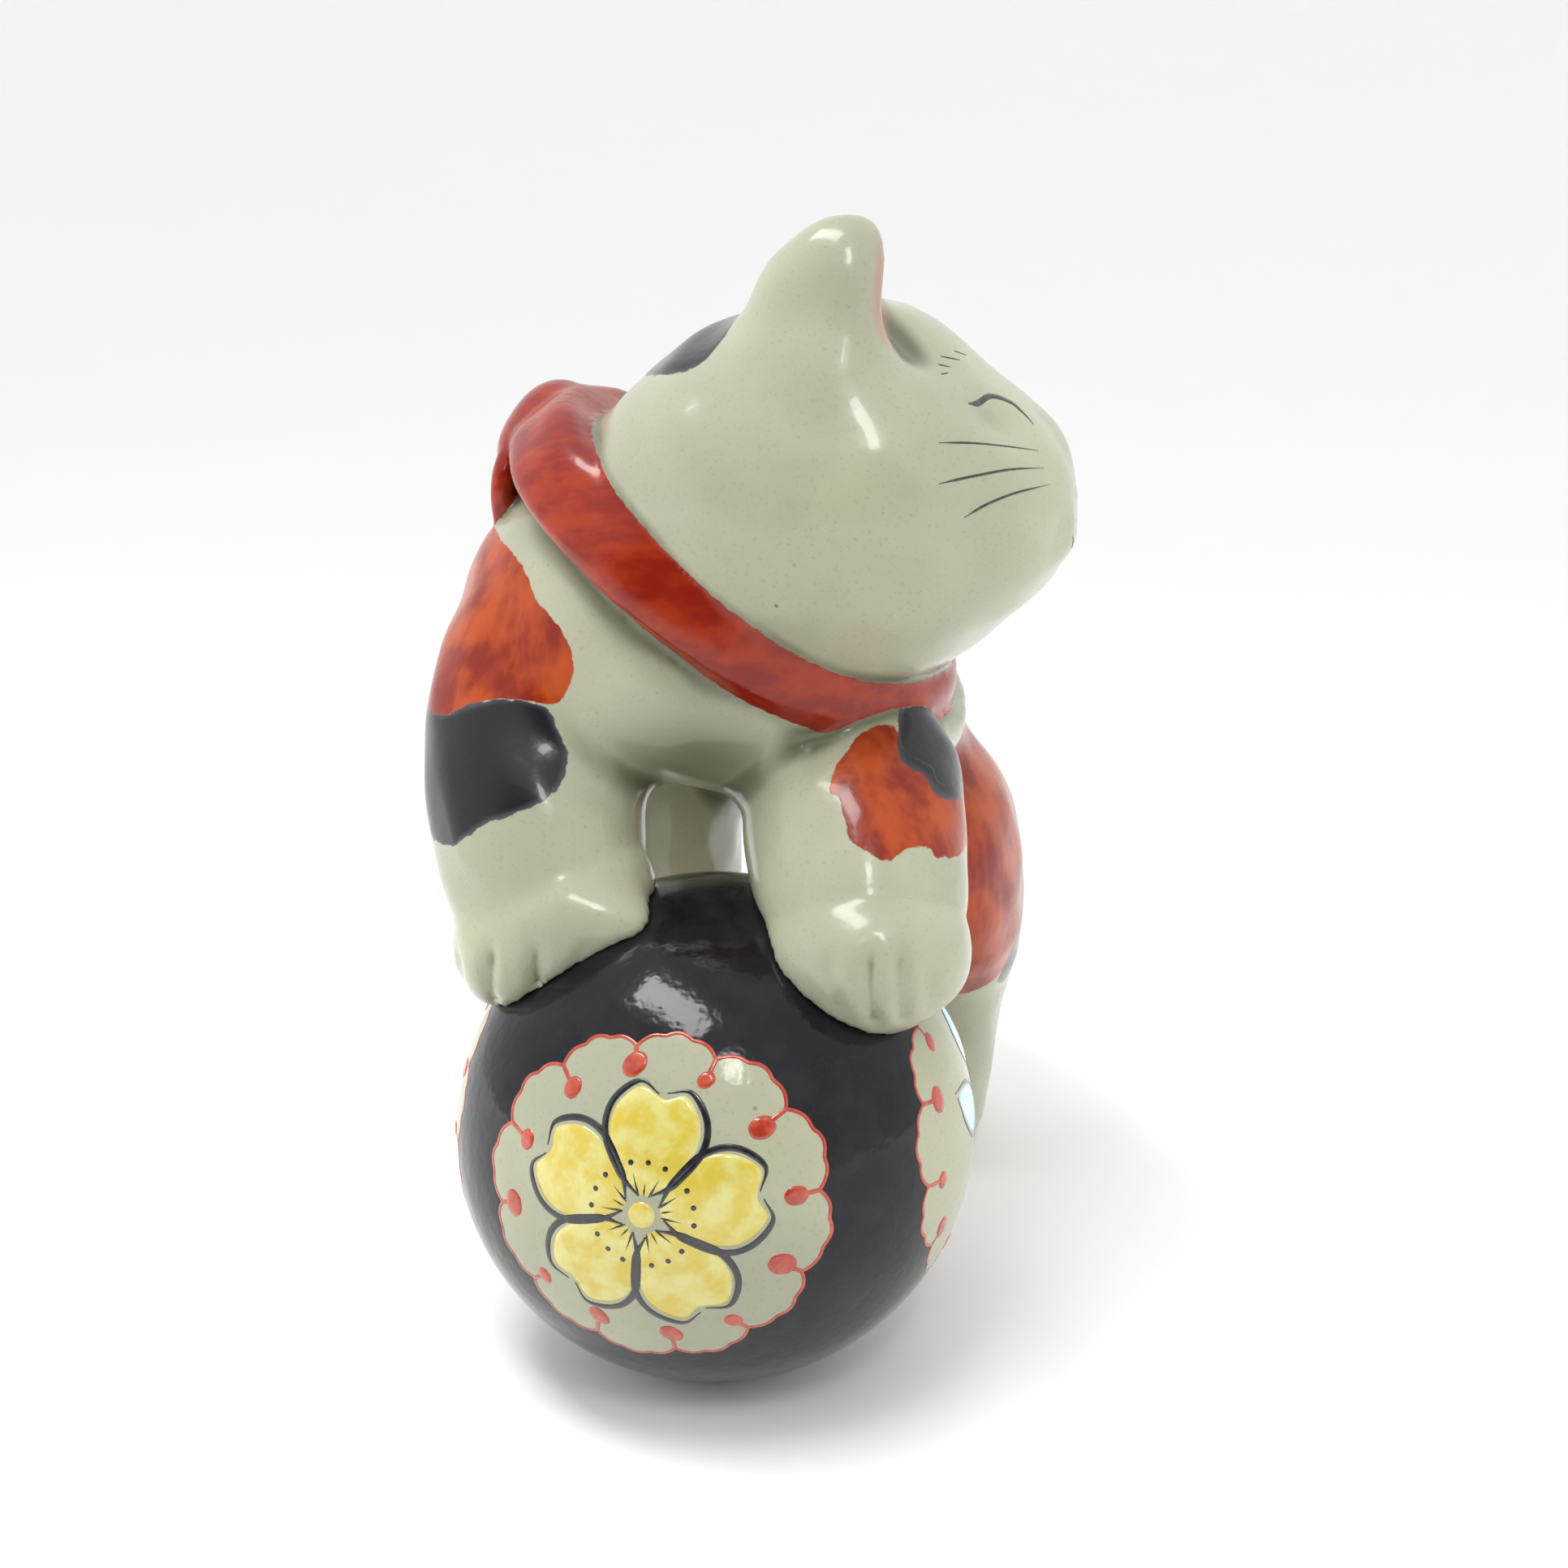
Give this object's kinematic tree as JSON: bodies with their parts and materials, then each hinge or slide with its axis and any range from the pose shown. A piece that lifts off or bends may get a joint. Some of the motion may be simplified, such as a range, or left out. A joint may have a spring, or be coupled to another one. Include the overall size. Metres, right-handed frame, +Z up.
{
  "type": "beckoning cat figurine",
  "caption": "Glazed ceramic calico cat with a red collar, standing with its forepaws on a black decorated ball and its head turned to one side.",
  "frame": {"origin": "centre of the ball's flat foot, on the surface that the figurine stands on", "axes": "+Z up, -Y the way the cat's body faces, +X the way its head is turned (the cat's left)"},
  "size_m": [0.0917, 0.1561, 0.1523],
  "materials": {
    "white_glaze": "glossy pale grey-green glaze with painted calico patches",
    "black_glaze": "glossy black glaze with white painted roundels",
    "red_glaze": "glossy iron-red overglaze"
  },
  "bodies": {
    "root": {"ball": "black_glaze", "torso": "white_glaze", "head": "white_glaze", "ear_right": "white_glaze", "ear_left": "white_glaze", "foreleg_right": "white_glaze", "foreleg_left": "white_glaze", "hind_leg_right": "white_glaze", "hind_leg_left": "white_glaze", "tail": "white_glaze", "collar_band": "red_glaze", "collar_knot": "red_glaze", "collar_end_right": "red_glaze", "collar_end_left": "red_glaze"}
  },
  "joints": []
}
